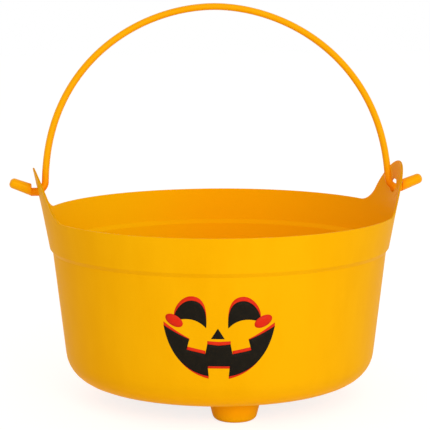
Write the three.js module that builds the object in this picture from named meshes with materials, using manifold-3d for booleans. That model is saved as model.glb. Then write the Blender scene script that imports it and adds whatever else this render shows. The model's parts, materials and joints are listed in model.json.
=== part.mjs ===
// Pumpkin candy bowl: a thin round plastic bowl on three feet, a bail handle that swings in two
// ears on its rim, and a jack-o'-lantern face printed on its front in black and red.
// Sizes are in millimetres, +Z is up. The origin is on the ground under the middle of the bowl.
// X runs through the two ears, and the front foot stands towards -Y.

import * as THREE from 'three';
import { mergeVertices } from 'three/addons/utils/BufferGeometryUtils.js';
import Module from 'manifold-3d';

// Bowl wall: two cones with a small ledge between them, the lower one rounded into a flat floor.
const wall = 1.2;               // thickness of the whole moulding
const stepRadius = 109.0;       // outside, at the top of the lower cone
const lowerWallHeight = 85.4;   // from the underside of the floor up to the ledge
const lowerDraft = 0.1143;      // how much the lower cone widens for each millimetre of height
const cornerRadius = 20.4;      // between the lower cone and the floor
const ledgeOut = 1.43;          // how far the upper band stands out past the lower cone
const ledgeHeight = 2.7;
const bandHeight = 24.6;        // from the foot of the ledge up to the rim
const bandDraft = 0.1837;

// Feet: hollow stubs moulded into the floor.
const footCount = 3;
const footHeight = 13.2;
const footCircleRadius = 62.5;
const footTopRadius = 16.6;
const footBottomRadius = 13.3;  // where the sides would meet the ground without their rounding
const footEdgeRadius = 4.0;

// Ears: the band carried on upwards at each end of the X axis, seen from the side as a bell.
const earHeight = 30.9;         // above the rim
const earBaseHalfWidth = 45.2;  // where the bell runs out into the rim
const earFlankHalfWidth = 30.2;
const earFlankHeight = 9.5;     // where the flank turns from hollow to round
const earFlankLean = 0.42;      // sideways run of the flank for each millimetre of height
const earDraft = 0.21;          // the ears flare a little more than the band below them
const earRunOutPull = 0.6;      // how long the ear's curves keep their direction, as shares:
const earFlankPull = 0.6;       // at the rim, below and above the flank, and at the top
const earShoulderPull = 0.47;
const earTopPull = 0.48;
const pivotAboveRim = 14.34;

// Bail handle: one round rod, bowed over the bowl, that leans back a little as it stands.
const rodRadius = 2.3;
const legClearance = 1.12;      // between a leg and the inside of its ear, at the pivot
const bailRise = 120.8;         // from the pivots to the centre line at the top
const bowCrown = 1.92;          // 2 for both would be a plain ellipse: less here, a slimmer top
const bowLegs = 2.23;           // more here, straighter legs
const bailLean = 12;            // degrees from upright
const bailSkew = 0.54;          // degrees that it hangs out of level in its loose holes, left side higher
const bendRadius = 7.0;         // centre line, where a leg turns out into its pin
const pinRadius = 2.7;
const pinClearance = 0.3;       // under the lower pin, in its hole
const pinSidePlay = 4.3;        // on each side of it
const bendClearance = 1.35;     // over the rod where it passes through the hole
const pinInside = 1.8;          // pin that runs on inside the ear, under the bend
const pinOutside = 4.3;         // pin that shows between an ear and its stop
const stopLength = 14.7;
const stopInnerRadius = 3.75;
const stopOuterRadius = 3.35;
const stopEndShare = 0.8;       // of its outer radius, rounded off at its end
const stopTilt = 20.6;          // degrees that the stop rises from the pin's line

// Face: printed on the lower cone, in films that are thicker here than the real ink.
const faceTurn = -9.15;         // degrees from the front foot, seen from above, towards -X
const faceTilt = -0.65;         // degrees that the print is out of level, its right side lower
const faceHeight = 67.0;        // tip of the nose above the ground
const mouthHalfWidth = 33.6;    // from the middle out to a corner of the mouth
const eyeShift = -0.43;         // the drawing isn't quite centred: its parts sit a little to the
const cheekShift = 0.4;         // left or right of the nose
const mouthShift = 0.7;
const redEyeRise = 2.7;         // how far the red shows over the black of an eye
const inkGap = 0.3;
const inkThickness = 0.3;
const inkMargin = 0.3;          // between one colour and the next

// How finely round things are divided.
const aroundBowl = 96;
const aroundFoot = 28;
const aroundRod = 12;
const aroundStop = 16;
const bowSteps = 52;
const bendSteps = 16;
const arcSteps = 6;
const footArcSteps = 3;
const stopArcSteps = 4;
const curveSteps = 10;

const plasticColour = 0xf8b203;
const blackInk = 0x211e17;
const redInk = 0xe82b10;
const plasticRoughness = 0.36;
const inkRoughness = 0.45;

const floorZ = footHeight;
const stepZ = floorZ + lowerWallHeight;
const rimZ = stepZ + bandHeight;
const earTopZ = rimZ + earHeight;
const pivotZ = rimZ + pivotAboveRim;
const clear = 40;               // how far cutting shapes run past what they cut

const lowerRadiusAt = (z) => stepRadius - lowerDraft * (stepZ - z);
const bandRadiusAt = (z) => stepRadius + ledgeOut + bandDraft * (z - stepZ);
const earRadiusAt = (z) => bandRadiusAt(rimZ) + earDraft * (z - rimZ);

// The bow of the bail, from its right leg over the top to its left leg, about the pivot line.
const earOutside = earRadiusAt(pivotZ);
const bailHalfSpan = earOutside - wall - legClearance - rodRadius;
function bowPoint(angle) {
  const across = Math.abs(Math.cos(angle)) ** (2 / bowCrown) * Math.sign(Math.cos(angle));
  const up = Math.sin(angle) ** (2 / bowLegs);
  return new THREE.Vector3(bailHalfSpan * across, 0, bailRise * up);
}

// It starts where the bends end.
const bowStart = Math.asin((bendRadius / bailRise) ** (bowLegs / 2));
const legX = bowPoint(bowStart).x;

const wasm = await Module();
wasm.setup();

// A closed three.js geometry as a solid that can be joined and cut.
function solidOf(geometry) {
  const bare = geometry.clone();
  bare.deleteAttribute('normal');
  bare.deleteAttribute('uv');
  const welded = mergeVertices(bare, 1e-4);
  const corners = welded.index.array;
  const triangles = [];
  for (let i = 0; i < corners.length; i += 3) {
    const [a, b, c] = corners.slice(i, i + 3);
    if (a !== b && b !== c && c !== a) triangles.push(a, b, c);
  }
  return new wasm.Manifold(new wasm.Mesh({
    numProp: 3,
    vertProperties: new Float32Array(welded.attributes.position.array),
    triVerts: new Uint32Array(triangles),
  }));
}

// A solid back as a geometry, with flat faces.
function geometryOf(solid) {
  const mesh = solid.getMesh();
  const geometry = new THREE.BufferGeometry();
  geometry.setAttribute('position', new THREE.BufferAttribute(mesh.vertProperties, 3));
  geometry.setIndex(new THREE.BufferAttribute(mesh.triVerts, 1));
  geometry.computeVertexNormals();
  return geometry;
}

// A profile of [radius, height] points turned about Z. The points run with the solid on their left.
function turned(profile, sides) {
  const points = profile.map(([radius, height]) => new THREE.Vector2(radius, height));
  return new THREE.LatheGeometry(points, sides).rotateX(Math.PI / 2);
}

// Points on an arc, both ends included.
function arc(centreX, centreY, radius, from, to, steps = arcSteps) {
  return Array.from({ length: steps + 1 }, (_, i) => {
    const angle = from + ((to - from) * i) / steps;
    return [centreX + radius * Math.cos(angle), centreY + radius * Math.sin(angle)];
  });
}

// The open line of points moved sideways to its left by a distance, its corners kept sharp.
function movedLeft(points, distance) {
  const normals = points.slice(1).map(([x, y], i) => {
    const [fromX, fromY] = points[i];
    const length = Math.hypot(x - fromX, y - fromY);
    return [(fromY - y) / length, (x - fromX) / length];
  });
  return points.map(([x, y], i) => {
    const before = normals[Math.max(i - 1, 0)];
    const after = normals[Math.min(i, normals.length - 1)];
    const sum = [before[0] + after[0], before[1] + after[1]];
    const share = (2 * distance) / (sum[0] ** 2 + sum[1] ** 2);
    return [x + sum[0] * share, y + sum[1] * share];
  });
}

// A side view, drawn in Y and Z, run through the whole bowl along X.
function throughAlongX(shape) {
  const length = 2 * (earRadiusAt(earTopZ) + clear);
  const alongX = new THREE.Matrix4().makeBasis(
    new THREE.Vector3(0, 1, 0), new THREE.Vector3(0, 0, 1), new THREE.Vector3(1, 0, 0));
  return new THREE.ExtrudeGeometry(shape, { depth: length, bevelEnabled: false, curveSegments: curveSteps })
    .translate(0, 0, -length / 2)
    .applyMatrix4(alongX);
}

// Bowl. The outside line runs from the middle of the floor up to the height of the ears' tops.
const draftAngle = Math.atan(lowerDraft);
const cornerZ = floorZ + cornerRadius;
const cornerCentre = lowerRadiusAt(cornerZ) - cornerRadius / Math.cos(draftAngle);
const outsideLine = [
  [0, floorZ],
  ...arc(cornerCentre, cornerZ, cornerRadius, -Math.PI / 2, -draftAngle),
  [stepRadius, stepZ],
  [bandRadiusAt(stepZ + ledgeHeight), stepZ + ledgeHeight],
  [bandRadiusAt(rimZ), rimZ],
  [earRadiusAt(earTopZ), earTopZ],
];
const shell = solidOf(turned([...outsideLine, ...movedLeft(outsideLine, wall).reverse()], aroundBowl));

// What is kept of the shell, seen from the side: all below the rim, and the two ears above it.
const flank = new THREE.Vector2(-earFlankLean, 1).normalize();
const flankPoint = new THREE.Vector2(earFlankHalfWidth, rimZ + earFlankHeight);
const belowFlank = flankPoint.clone().addScaledVector(flank, -earFlankPull * earFlankHeight);
const aboveFlank = flankPoint.clone()
  .addScaledVector(flank, earShoulderPull * (earHeight - earFlankHeight));
const topPull = earTopPull * earFlankHalfWidth;
const runOut = earFlankHalfWidth + earRunOutPull * (earBaseHalfWidth - earFlankHalfWidth);
const keptWidth = earRadiusAt(earTopZ) + clear;
const sideView = new THREE.Shape();
sideView.moveTo(-keptWidth, -clear);
sideView.lineTo(keptWidth, -clear);
sideView.lineTo(keptWidth, rimZ);
sideView.lineTo(earBaseHalfWidth, rimZ);
sideView.bezierCurveTo(runOut, rimZ, belowFlank.x, belowFlank.y, flankPoint.x, flankPoint.y);
sideView.bezierCurveTo(aboveFlank.x, aboveFlank.y, topPull, earTopZ, 0, earTopZ);
sideView.bezierCurveTo(-topPull, earTopZ, -aboveFlank.x, aboveFlank.y, -flankPoint.x, flankPoint.y);
sideView.bezierCurveTo(-belowFlank.x, belowFlank.y, -runOut, rimZ, -earBaseHalfWidth, rimZ);
sideView.lineTo(-keptWidth, rimZ);
sideView.closePath();

// The lower pin lies on the flat bottom of its oval hole, which lets the rod's bend through above it.
const skewAngle = THREE.MathUtils.degToRad(bailSkew);
const pinShift = (earOutside - wall / 2) * Math.sin(skewAngle);
const bendInHole = Math.max(legX + bendRadius - (earOutside - wall), 0);
const rodTopInHole = bendRadius - Math.sqrt(bendRadius ** 2 - bendInHole ** 2) + rodRadius;
const holeBottom = pivotZ - pinShift - pinRadius - pinClearance;
const holeTop = pivotZ + Math.max(rodTopInHole, pinRadius) + bendClearance;
const holeEnd = (holeTop - holeBottom) / 2;
const holeFlat = pinRadius + pinSidePlay - holeEnd;
const holeView = new THREE.Shape();
holeView.absarc(holeFlat, holeBottom + holeEnd, holeEnd, -Math.PI / 2, Math.PI / 2, false);
holeView.absarc(-holeFlat, holeBottom + holeEnd, holeEnd, Math.PI / 2, Math.PI * 1.5, false);

// Feet: the outside is a short cone with a rounded edge, and the hollow follows it inside.
const footLean = Math.atan((footTopRadius - footBottomRadius) / footHeight);
const footEdgeCentre = footBottomRadius + footEdgeRadius * (Math.tan(footLean) - 1 / Math.cos(footLean));
const footLine = [
  [0, 0],
  ...arc(footEdgeCentre, footEdgeRadius, footEdgeRadius, -Math.PI / 2, -footLean, footArcSteps),
  [footTopRadius, footHeight],
];
const footHollowLine = movedLeft(footLine, wall);
const [hollowTopRadius, hollowTopZ] = footHollowLine[footHollowLine.length - 1];
const footRoot = floorZ + wall / 2;
const footBody = turned([...footLine, [footTopRadius, footRoot], [0, footRoot]], aroundFoot);
const hollowEnd = hollowTopZ + clear;
const footHollow = turned([...footHollowLine, [hollowTopRadius, hollowEnd], [0, hollowEnd]], aroundFoot);

function atFoot(geometry, index) {
  const angle = -Math.PI / 2 + (2 * Math.PI * index) / footCount;
  const placed = geometry.clone();
  return placed.translate(footCircleRadius * Math.cos(angle), footCircleRadius * Math.sin(angle), 0);
}

let bowlSolid = shell.intersect(solidOf(throughAlongX(sideView))).subtract(solidOf(throughAlongX(holeView)));
for (let i = 0; i < footCount; i += 1) {
  bowlSolid = bowlSolid.add(solidOf(atFoot(footBody, i))).subtract(solidOf(atFoot(footHollow, i)));
}

// Bail handle, drawn upright in X and Z about its pivot line, and leaned back afterwards.
const section = new THREE.Shape(arc(0, 0, rodRadius, 0, 2 * Math.PI, aroundRod)
  .slice(0, aroundRod).map(([x, y]) => new THREE.Vector2(x, y)));

function rod(points, steps) {
  const path = new THREE.CatmullRomCurve3(points.map((point) => point.clone()));
  return solidOf(new THREE.ExtrudeGeometry(section, { steps, extrudePath: path }));
}

// The bow and the bends run on into each other a little, so that they join.
const joinLength = 1.0;
const bowPoints = [new THREE.Vector3(legX, 0, bendRadius - joinLength)];
for (let i = 0; i <= bowSteps; i += 1) {
  bowPoints.push(bowPoint(bowStart + ((Math.PI - 2 * bowStart) * i) / bowSteps));
}
bowPoints.push(new THREE.Vector3(-legX, 0, bendRadius - joinLength));

// A leg turns out, becomes the pin, passes through the ear's hole and ends in a thicker stop.
const stopX = earOutside + pinOutside;
const bendPoints = arc(legX + bendRadius, bendRadius, bendRadius, Math.PI, Math.PI * 1.5)
  .map(([x, z]) => new THREE.Vector3(x, 0, z));
bendPoints.unshift(new THREE.Vector3(legX, 0, bendRadius + joinLength));
bendPoints.push(new THREE.Vector3(stopX, 0, 0));
const pinStart = earOutside - wall - pinInside;
const pinEnd = stopX + joinLength;
const pin = new THREE.CylinderGeometry(pinRadius, pinRadius, pinEnd - pinStart, aroundStop)
  .rotateZ(Math.PI / 2).translate((pinStart + pinEnd) / 2, 0, 0);

// The stop rises outwards. It is cut square to the pin, with its underside level with the pin's there.
const stopEnd = stopOuterRadius * stopEndShare;
const stopTaper = (stopInnerRadius - stopOuterRadius) / (stopLength - stopEnd);
const stopRise = THREE.MathUtils.degToRad(stopTilt);
const runIn = stopInnerRadius;
const stopLine = [
  [0, -runIn],
  [stopInnerRadius + stopTaper * runIn, -runIn],
  ...arc(stopOuterRadius - stopEnd, stopLength - stopEnd, stopEnd, 0, Math.PI / 2, stopArcSteps),
  [0, stopLength],
];
const stopLift = stopInnerRadius / (Math.cos(stopRise) - stopTaper * Math.sin(stopRise)) - pinRadius;
const stop = turned(stopLine, aroundStop)
  .rotateY(Math.PI / 2 - stopRise)
  .translate(stopX, 0, stopLift);

const cutStop = solidOf(stop).trimByPlane([1, 0, 0], stopX);
const rightEnd = rod(bendPoints, bendSteps).add(solidOf(pin)).add(cutStop);
const bailSolid = rod(bowPoints, bowSteps).add(rightEnd).add(rightEnd.mirror([1, 0, 0]));

// Face. Outlines are drawn for the right half, seen from the front, from the tip of the nose,
// with half the mouth's width as 1.
function drawnEye(rise) {
  const eye = new THREE.Shape();
  eye.moveTo(0.198, 0.004 + 0.7 * rise);
  eye.bezierCurveTo(0.168, 0.425 + rise, 0.324, 0.512 + rise, 0.467, 0.512 + rise);
  eye.bezierCurveTo(0.633, 0.512 + rise, 0.795, 0.3 + rise, 0.779, 0.117 + rise);
  eye.quadraticCurveTo(0.42, 0.251, 0.198, 0.004 + 0.7 * rise);
  return outlineOf(eye);
}

// The points of a closed shape, with its first point not repeated at its end.
function outlineOf(shape) {
  const points = shape.getPoints(8);
  const last = points[points.length - 1];
  if (last.distanceTo(points[0]) < 1e-6) points.pop();
  return points.map((point) => [point.x, point.y]);
}

function drawnCheek(grow) {
  const cheek = new THREE.Shape();
  cheek.absellipse(0.8, 0.126, 0.173 + grow, 0.099 + grow, 0, 2 * Math.PI, false, 0.528);
  return outlineOf(cheek);
}

const nose = [[0, 0], [-0.124, -0.196], [0.124, -0.196]];

// The mouth's edges, from its top middle to its lower middle, with one tooth above and one below.
const mouthTop = [[0, -0.318], [0.21, -0.296]];
const upperTooth = [[0.244, -0.481], [0.582, -0.411]];
const lip = new THREE.QuadraticBezierCurve(
  new THREE.Vector2(0.533, -0.21), new THREE.Vector2(0.765, -0.122), new THREE.Vector2(1, 0.027));
const jaw = new THREE.CubicBezierCurve(
  new THREE.Vector2(1, 0.027), new THREE.Vector2(0.906, -0.494), new THREE.Vector2(0.628, -0.829),
  new THREE.Vector2(0.181, -0.9));
const lowerTooth = [[0.2, -0.708], [0, -0.708]];
const asPairs = (points) => points.map((point) => [point.x, point.y]);
const mouthHalf = [
  ...mouthTop, ...upperTooth, ...asPairs(lip.getPoints(4)), ...asPairs(jaw.getPoints(12).slice(1)),
  ...lowerTooth,
];

const mirrored = (points) => points.map(([x, y]) => [-x, y]).reverse();
const wholeMouth = [...mouthHalf, ...mirrored(mouthHalf).slice(1, -1)];

// Red shows as strips along the mouth's upper edges, in its lower tooth gap and under its jaw.
// Each strip runs along an edge and has its own height at each of the edge's points.
const raised = (points, by) => points.map(([x, y], i) => [x, y + by[i]]);
const strip = (edge, by) => [...edge, ...raised(edge, by).reverse()];
const topStrip = strip([...mirrored(mouthTop).slice(0, -1), ...mouthTop], [0.06, 0.071, 0.06]);
const gapStrip = strip([[-0.2, -0.708], [0.2, -0.708]], [-0.042, -0.042]);
const toothStrip = strip(upperTooth, [0.062, 0.062]);
const lipStrip = strip(asPairs(lip.getPoints(4)), [0.012, 0.024, 0.039, 0.054, 0.068]);
const jawEnd = asPairs(jaw.getPoints(12).slice(6));
const jawStrip = strip(jawEnd, jawEnd.map((_, i) => (-0.045 * i) / (jawEnd.length - 1)));

// An outline grown by a distance all round, whichever way its points run.
function grown(outline, distance) {
  const side = THREE.ShapeUtils.isClockWise(outline.map(([x, y]) => new THREE.Vector2(x, y))) ? 1 : -1;
  const closed = [outline[outline.length - 1], ...outline, outline[0]];
  return movedLeft(closed, side * distance).slice(1, -1);
}

// An outline at its real size, run out through the front of the wall along the face's own direction.
function throughFace(outline, shift = 0) {
  const points = outline.map(([x, y]) => new THREE.Vector2(x, y).multiplyScalar(mouthHalfWidth));
  const upright = new THREE.Matrix4().makeBasis(
    new THREE.Vector3(1, 0, 0), new THREE.Vector3(0, 0, 1), new THREE.Vector3(0, -1, 0));
  return solidOf(new THREE.ExtrudeGeometry(new THREE.Shape(points), {
    depth: stepRadius + clear, bevelEnabled: false,
  }).translate(shift, 0, 0).rotateZ(THREE.MathUtils.degToRad(faceTilt)).applyMatrix4(upright)
    .translate(0, 0, faceHeight).rotateZ(THREE.MathUtils.degToRad(faceTurn)));
}

const inkLine = movedLeft([[lowerRadiusAt(cornerZ), cornerZ], [stepRadius, stepZ]], -inkGap);
const inkSkin = solidOf(turned([...movedLeft(inkLine, -inkThickness), ...inkLine.slice().reverse(),
  movedLeft(inkLine, -inkThickness)[0]], aroundBowl));

const ink = (outline, shift) => inkSkin.intersect(throughFace(outline, shift));
const drawnMargin = inkMargin / mouthHalfWidth;
const mouthMask = throughFace(grown(wholeMouth, drawnMargin), mouthShift);
const redStrip = (outline) => ink(outline, mouthShift).subtract(mouthMask);
const eye = drawnEye(0);

// The whole object.
const bowlAndBail = new THREE.Group();

function named(name, solid, color, roughness) {
  const mesh = new THREE.Mesh(geometryOf(solid), new THREE.MeshStandardMaterial({
    color, roughness, metalness: 0,
  }));
  mesh.name = name;
  return mesh;
}

bowlAndBail.add(named('bowl', bowlSolid, plasticColour, plasticRoughness));

const bail = named('bail_handle', bailSolid, plasticColour, plasticRoughness);
bail.position.z = pivotZ;
bail.rotation.set(-THREE.MathUtils.degToRad(bailLean), skewAngle, 0);
bowlAndBail.add(bail);

const addBlack = (name, solid) => bowlAndBail.add(named(name, solid, blackInk, inkRoughness));
const addRed = (name, solid) => bowlAndBail.add(named(name, solid, redInk, inkRoughness));

for (const [side, placed] of [['left', mirrored], ['right', (outline) => outline]]) {
  const cheekMask = throughFace(placed(drawnCheek(drawnMargin)), cheekShift);
  const eyeMask = throughFace(placed(grown(eye, drawnMargin)), eyeShift);
  const raisedEye = throughFace(placed(drawnEye(redEyeRise / mouthHalfWidth)), eyeShift);
  addBlack(`${side}_eye_black`, ink(placed(eye), eyeShift).subtract(cheekMask));
  addRed(`${side}_eye_red`, inkSkin.intersect(raisedEye).subtract(eyeMask).subtract(cheekMask));
  addRed(`${side}_cheek_red`, ink(placed(drawnCheek(0)), cheekShift));
  addRed(`${side}_lip_red`, redStrip(placed(lipStrip)));
  addRed(`${side}_tooth_red`, redStrip(placed(toothStrip)));
  addRed(`${side}_jaw_red`, redStrip(placed(jawStrip)));
}
addBlack('nose_black', ink(nose));
addBlack('mouth_black', ink(wholeMouth, mouthShift));
addRed('mouth_top_red', redStrip(topStrip));
addRed('mouth_gap_red', redStrip(gapStrip));

export default bowlAndBail;
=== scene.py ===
import json
import math

import bmesh
import bpy
import numpy as np
from mathutils import Matrix, Vector, geometry, kdtree


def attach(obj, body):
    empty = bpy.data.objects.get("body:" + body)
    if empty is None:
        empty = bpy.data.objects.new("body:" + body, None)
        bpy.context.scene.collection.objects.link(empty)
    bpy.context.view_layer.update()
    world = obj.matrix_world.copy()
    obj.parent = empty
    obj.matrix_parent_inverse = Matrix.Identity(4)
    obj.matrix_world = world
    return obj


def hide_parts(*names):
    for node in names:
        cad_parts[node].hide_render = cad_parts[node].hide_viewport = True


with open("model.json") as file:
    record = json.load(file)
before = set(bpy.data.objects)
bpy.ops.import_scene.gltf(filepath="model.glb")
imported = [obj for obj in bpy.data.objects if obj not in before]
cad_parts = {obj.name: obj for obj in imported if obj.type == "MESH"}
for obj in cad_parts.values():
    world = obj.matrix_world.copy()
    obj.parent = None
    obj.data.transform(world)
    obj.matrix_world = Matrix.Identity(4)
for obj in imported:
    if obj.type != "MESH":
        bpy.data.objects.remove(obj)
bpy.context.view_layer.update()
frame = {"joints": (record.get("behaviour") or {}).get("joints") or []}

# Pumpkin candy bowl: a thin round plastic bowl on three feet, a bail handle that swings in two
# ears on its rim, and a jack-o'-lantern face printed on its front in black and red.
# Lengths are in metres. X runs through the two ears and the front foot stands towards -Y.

# Setting: the camera stands a little over a metre in front of the bowl, slightly to its left and
# above its rim, and looks at it through a long lens.
scene = bpy.context.scene
camera_place = Vector((-0.17235, -1.1436, 0.29006))
camera_aim = Vector((-0.00284, 0.00043, 0.12066))
camera_roll = math.radians(-0.175)
lens_mm = 149.34
sensor_mm = 36.0

camera_data = bpy.data.cameras.new("camera")
camera_data.sensor_width = sensor_mm
camera_data.lens = lens_mm
camera_data.clip_end = 20.0
camera = bpy.data.objects.new("camera", camera_data)
scene.collection.objects.link(camera)
look = (camera_aim - camera_place).to_track_quat("-Z", "Y").to_matrix().to_4x4()
camera.matrix_world = Matrix.Translation(camera_place) @ look @ Matrix.Rotation(camera_roll, 4, "Z")
scene.camera = camera
scene.view_settings.view_transform = "Standard"

# World: plain soft light from all round, slightly warm. The camera doesn't see that light: seen
# directly, or in something glossy, the background behind the bowl is plain white.
ambient_level = 0.755
ambient_colour = (1.0, 0.81, 0.73, 1.0)
plain_white = (1.0, 1.0, 1.0, 1.0)


def add_node(tree, kind, values=None, **settings):
    """A new node with its own settings, and the values of its unlinked inputs by name or number."""
    made = tree.nodes.new(kind)
    for name, value in settings.items():
        setattr(made, name, value)
    for socket, value in (values or {}).items():
        made.inputs[socket].default_value = value
    return made


def seen_directly(tree):
    """1 for what the camera sees, also in gloss and through glass."""
    light_path = add_node(tree, "ShaderNodeLightPath")
    either = add_node(tree, "ShaderNodeMath", operation="MAXIMUM")
    all_three = add_node(tree, "ShaderNodeMath", operation="MAXIMUM")
    tree.links.new(light_path.outputs["Is Camera Ray"], either.inputs[0])
    tree.links.new(light_path.outputs["Is Transmission Ray"], either.inputs[1])
    tree.links.new(either.outputs[0], all_three.inputs[0])
    tree.links.new(light_path.outputs["Is Glossy Ray"], all_three.inputs[1])
    return all_three.outputs[0]


world = bpy.data.worlds.new("white_studio")
scene.world = world
world.use_nodes = True
tree = world.node_tree
tree.nodes.clear()
ambient = add_node(tree, "ShaderNodeBackground", {"Color": ambient_colour, "Strength": ambient_level})
white = add_node(tree, "ShaderNodeBackground", {"Color": plain_white, "Strength": 1.0})
mixed = add_node(tree, "ShaderNodeMixShader")
world_out = add_node(tree, "ShaderNodeOutputWorld")
tree.links.new(seen_directly(tree), mixed.inputs[0])
tree.links.new(ambient.outputs[0], mixed.inputs[1])
tree.links.new(white.outputs[0], mixed.inputs[2])
tree.links.new(mixed.outputs[0], world_out.inputs[0])

# Floor: a plain pale table. What the camera sees of it is mostly its own white, with enough of
# the light on it added that the bowl keeps a faint shadow under it.
floor_size = 8.0
floor_paint_white = 0.95
floor_own_white = 0.8
floor_lit_share = 0.36

floor_mesh = bpy.data.meshes.new("floor")
half = floor_size / 2
floor_corners = [(-half, -half, 0), (half, -half, 0), (half, half, 0), (-half, half, 0)]
floor_mesh.from_pydata(floor_corners, [], [(0, 1, 2, 3)])
floor = bpy.data.objects.new("floor", floor_mesh)
scene.collection.objects.link(floor)
floor_paint = bpy.data.materials.new("floor")
floor_paint.use_nodes = True
tree = floor_paint.node_tree
tree.nodes.clear()
paint = add_node(tree, "ShaderNodeBsdfDiffuse", {"Color": (floor_paint_white,) * 3 + (1.0,)})
lit = add_node(tree, "ShaderNodeBsdfDiffuse", {"Color": (floor_lit_share,) * 3 + (1.0,)})
glow = add_node(tree, "ShaderNodeEmission", {"Color": plain_white, "Strength": floor_own_white})
both = add_node(tree, "ShaderNodeAddShader")
mixed = add_node(tree, "ShaderNodeMixShader")
surface = add_node(tree, "ShaderNodeOutputMaterial")
tree.links.new(lit.outputs[0], both.inputs[0])
tree.links.new(glow.outputs[0], both.inputs[1])
tree.links.new(seen_directly(tree), mixed.inputs[0])
tree.links.new(paint.outputs[0], mixed.inputs[1])
tree.links.new(both.outputs[0], mixed.inputs[2])
tree.links.new(mixed.outputs[0], surface.inputs[0])
floor_mesh.materials.append(floor_paint)

# Lamps: two broad soft boxes, one in front and to the right, and a higher one straight in front.
# Both point at about the middle of the bowl.
lamp_size = 0.8
lamp_aim = Vector((0.0, 0.0, 0.08))


def soft_box(name, place, power):
    lamp = bpy.data.lights.new(name, "AREA")
    lamp.shape = "SQUARE"
    lamp.size = lamp_size
    lamp.energy = power
    made = bpy.data.objects.new(name, lamp)
    scene.collection.objects.link(made)
    turn = (lamp_aim - Vector(place)).to_track_quat("-Z", "Y").to_matrix().to_4x4()
    made.matrix_world = Matrix.Translation(place) @ turn


soft_box("front_right_box", (0.57, -1.56, 0.43), power=5.5)
soft_box("front_box", (0.0, -1.47, 0.93), power=5.6)

# Bowl: one injection moulding in orange polypropylene. Floor, wall, ledge, upper band, both ears
# and the three hollow feet come out of the mould together, with all edges slightly rounded.
wall = 0.0012
step_radius = 0.109
lower_wall_height = 0.0854
lower_draft = 0.1143
corner_radius = 0.0204
ledge_out = 0.00143
ledge_height = 0.0027
band_height = 0.0246
band_draft = 0.1837
ear_draft = 0.21
ear_flare_run = 0.008
ledge_foot_radius = 0.00025
ledge_top_radius = 0.0006

foot_height = 0.0132
foot_circle_radius = 0.0625
foot_top_radius = 0.0166
foot_bottom_radius = 0.0133
foot_edge_radius = 0.004
foot_fillet = 0.0008
foot_angles = [math.radians(a) for a in (-90, 30, 150)]

ear_height = 0.0309
ear_base_half = 0.0452
ear_flank_half = 0.0302
ear_flank_height = 0.0095
ear_flank_lean = 0.42
ear_foot_pull = 0.6
ear_shoulder_pull = 0.47
ear_top_pull = 0.48
hole_below_pivot = 0.00382
hole_above_pivot = 0.00453
hole_half_width = 0.007
edge_round = 0.00035

gate_tip_below_floor = 0.0004
gate_tip_radius = 0.0011
gate_root_radius = 0.0014
gate_dish_depth = 0.0003
gate_dish_flat_radius = 0.0045
gate_dish_radius = 0.006
gate_rounds = (0.0002, 0.0002, 0.001)

# Painted shade and bounce light for the feet.
painted_foot_shade = (0.98, 0.415, 0.002, 1.0)
# Painted bounce light for the corner over the floor.
painted_corner_light = (0.99, 0.515, 0.001, 1.0)
# Painted shade for the inside's right and painted light for its left.
painted_inside_shade = (0.94, 0.458, 0.001, 1.0)
painted_inside_left_light = (0.915, 0.545, 0.001, 1.0)
# Painted shade for the ears' cut edges.
painted_ear_edge_shade = (0.66, 0.3, 0.001, 1.0)
plastic_shine = (1.0, 0.55, 0.06, 1.0)

# How finely it is drawn: points round the bowl, a foot and a hole, and the wall's spacing.
around_bowl = 320
around_foot = 72
around_hole = 32
grid = 0.003
tiny = 1e-9

floor_z = foot_height
step_z = floor_z + lower_wall_height
rim_z = step_z + band_height
band_foot_z = step_z + ledge_height + grid
ear_top_z = rim_z + ear_height
pivot = Vector(frame["joints"][0]["pos_m"])
across_wall = math.hypot(1.0, band_draft)


def turned(x, y, angle):
    return x * math.cos(angle) - y * math.sin(angle), x * math.sin(angle) + y * math.cos(angle)


def rounded(corners, radii, steps):
    """A line of points through corners, each inner corner turned into an arc of its radius."""
    line = [np.array(corners[0], float)]
    for before, corner, after, radius in zip(corners, corners[1:], corners[2:], radii):
        corner = np.array(corner, float)
        back = np.array(before, float) - corner
        on = np.array(after, float) - corner
        back /= np.linalg.norm(back)
        on /= np.linalg.norm(on)
        half_turn = math.acos(np.clip(back @ on, -1, 1)) / 2
        middle = (back + on) / np.linalg.norm(back + on)
        centre = corner + middle * radius / math.sin(half_turn)
        first = corner + back * radius / math.tan(half_turn) - centre
        last = corner + on * radius / math.tan(half_turn) - centre
        sweep = math.atan2(first[0] * last[1] - first[1] * last[0], first @ last)
        line += [centre + turned(*first, sweep * i / steps) for i in range(steps + 1)]
    line.append(np.array(corners[-1], float))
    return line


def moved_left(corners, distance):
    """A line of corners moved sideways to its left, its corners kept sharp."""
    corners = [np.array(c, float) for c in corners]
    normals = []
    for start, end in zip(corners, corners[1:]):
        run = (end - start) / np.linalg.norm(end - start)
        normals.append(np.array([-run[1], run[0]]))
    moved = []
    for i, corner in enumerate(corners):
        both = normals[max(i - 1, 0)] + normals[min(i, len(normals) - 1)]
        moved.append(corner + both * 2 * distance / (both @ both))
    return moved


def divided(line, longest):
    """The same line with points added, so that no stretch is longer than that."""
    points = [line[0]]
    for start, end in zip(line, line[1:]):
        pieces = max(1, math.ceil(np.linalg.norm(end - start) / longest))
        points += [start + (end - start) * i / pieces for i in range(1, pieces + 1)]
    return points


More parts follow.
